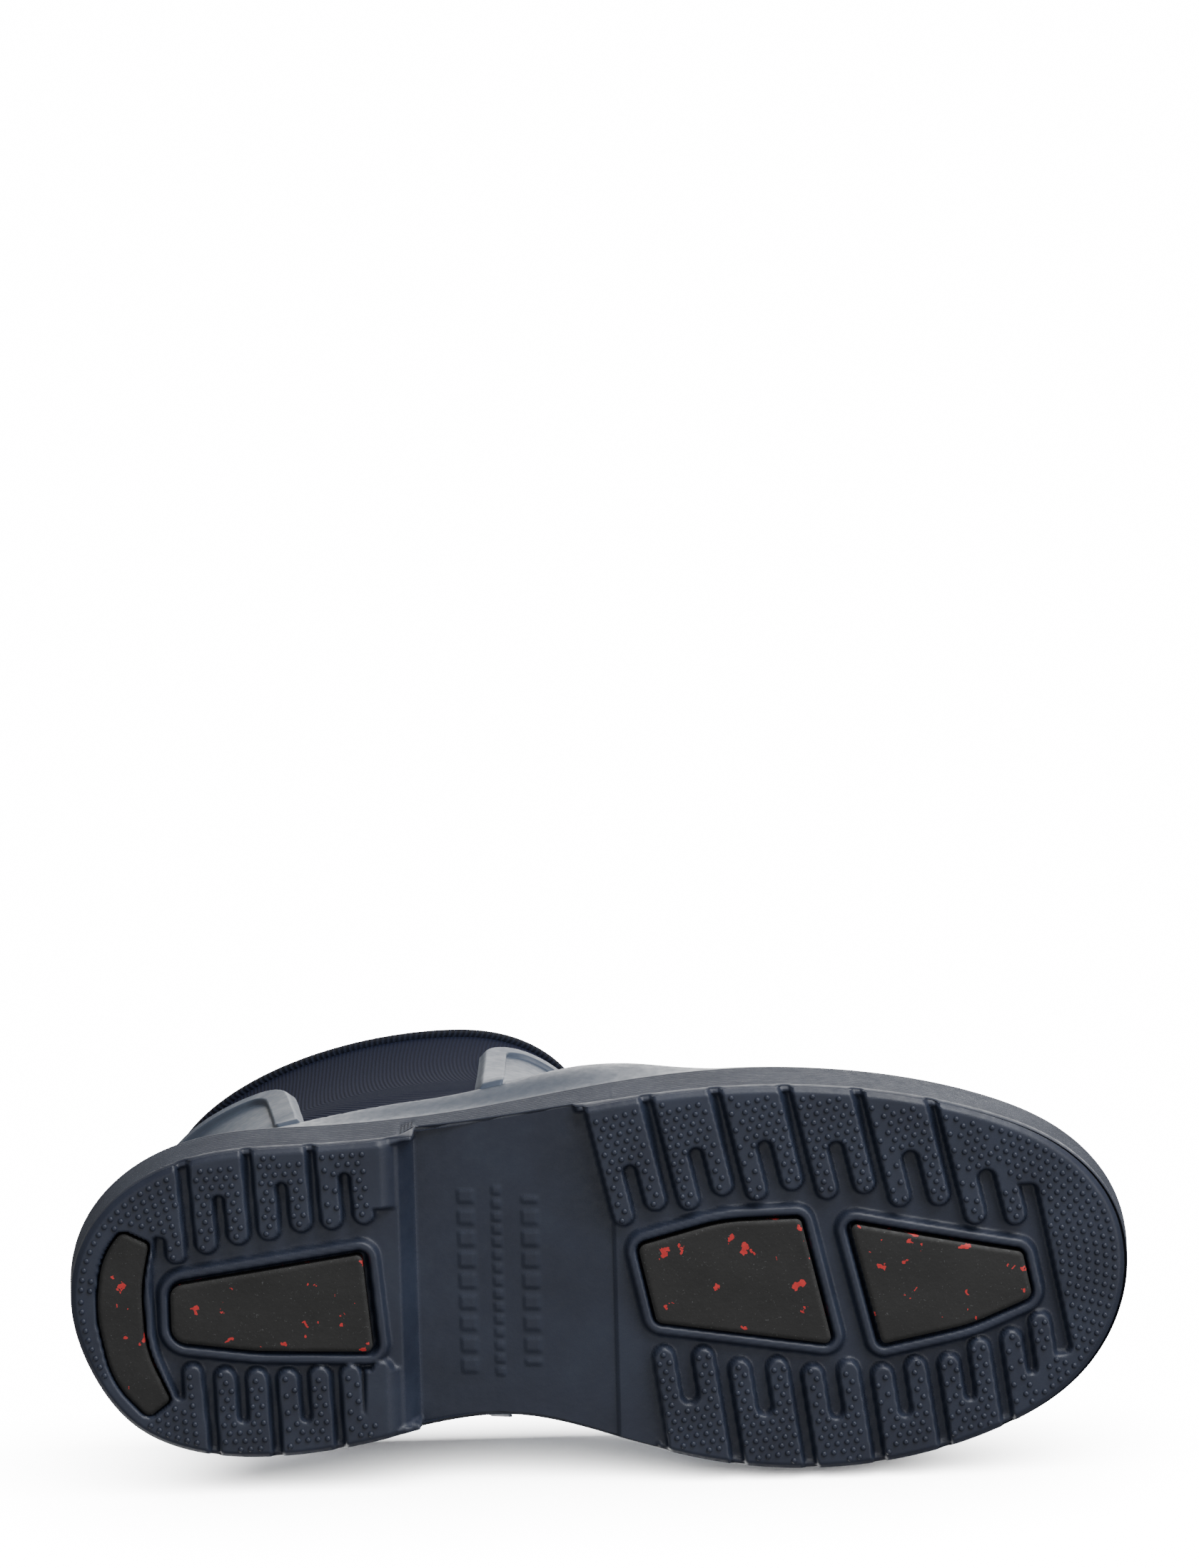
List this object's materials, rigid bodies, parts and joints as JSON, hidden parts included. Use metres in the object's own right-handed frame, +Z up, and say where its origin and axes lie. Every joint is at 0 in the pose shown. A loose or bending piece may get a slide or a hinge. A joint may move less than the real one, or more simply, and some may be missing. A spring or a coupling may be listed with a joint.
{
  "type": "deck boot",
  "caption": "Short right-foot deck boot: cupped rubber outsole with grip inserts, ribbed side wall, rubber shell and neoprene leg.",
  "frame": {"origin": "on the ground under the middle of the boot's box", "axes": "+X towards the toe, +Y towards the inner (medial) side, +Z up the leg"},
  "size_m": [0.2757, 0.1042, 0.156],
  "materials": {
    "sole_rubber": "satin moulded rubber",
    "foxing_rubber": "satin ribbed rubber",
    "galosh_rubber": "satin rubber",
    "panel_rubber": "satin rubber",
    "grip_rubber": "matt rubber with red flecks",
    "neoprene": "ribbed knit face on neoprene foam",
    "lining_knit": "soft knit",
    "binding_knit": "ribbed elastic knit",
    "seam_tape": "woven tape",
    "stiffener": "matt",
    "board": "matt fibre board",
    "filler_foam": "closed-cell foam",
    "shank_steel": "brushed",
    "footbed_foam": "open-cell foam",
    "footbed_knit": "brushed knit"
  },
  "bodies": {
    "boot": {"back_seam_tape": "seam_tape", "bootee_lining": "lining_knit", "collar_binding": "binding_knit", "forefoot_filler": "filler_foam", "front_panel": "panel_rubber", "front_panel_rim": "panel_rubber", "grip_insert_forefoot_front": "grip_rubber", "grip_insert_forefoot_rear": "grip_rubber", "grip_insert_heel_centre": "grip_rubber", "grip_insert_heel_rear": "grip_rubber", "heel_counter": "stiffener", "heel_filler": "filler_foam", "insole_board": "board", "neoprene_bootee": "neoprene", "outsole": "sole_rubber", "rear_panel": "panel_rubber", "rear_panel_rim": "panel_rubber", "ribbed_foxing": "foxing_rubber", "rubber_galosh": "galosh_rubber", "shank": "shank_steel", "toe_puff": "stiffener"},
    "footbed": {"footbed": "footbed_foam", "footbed_cover": "footbed_knit"}
  },
  "joints": [
    {"name": "footbed_lift", "type": "hinge", "parent": "boot", "child": "footbed", "pos_m": [0.112, 0, 0.0205], "axis": [0, 1, 0], "range_deg": [0, 6]}
  ]
}
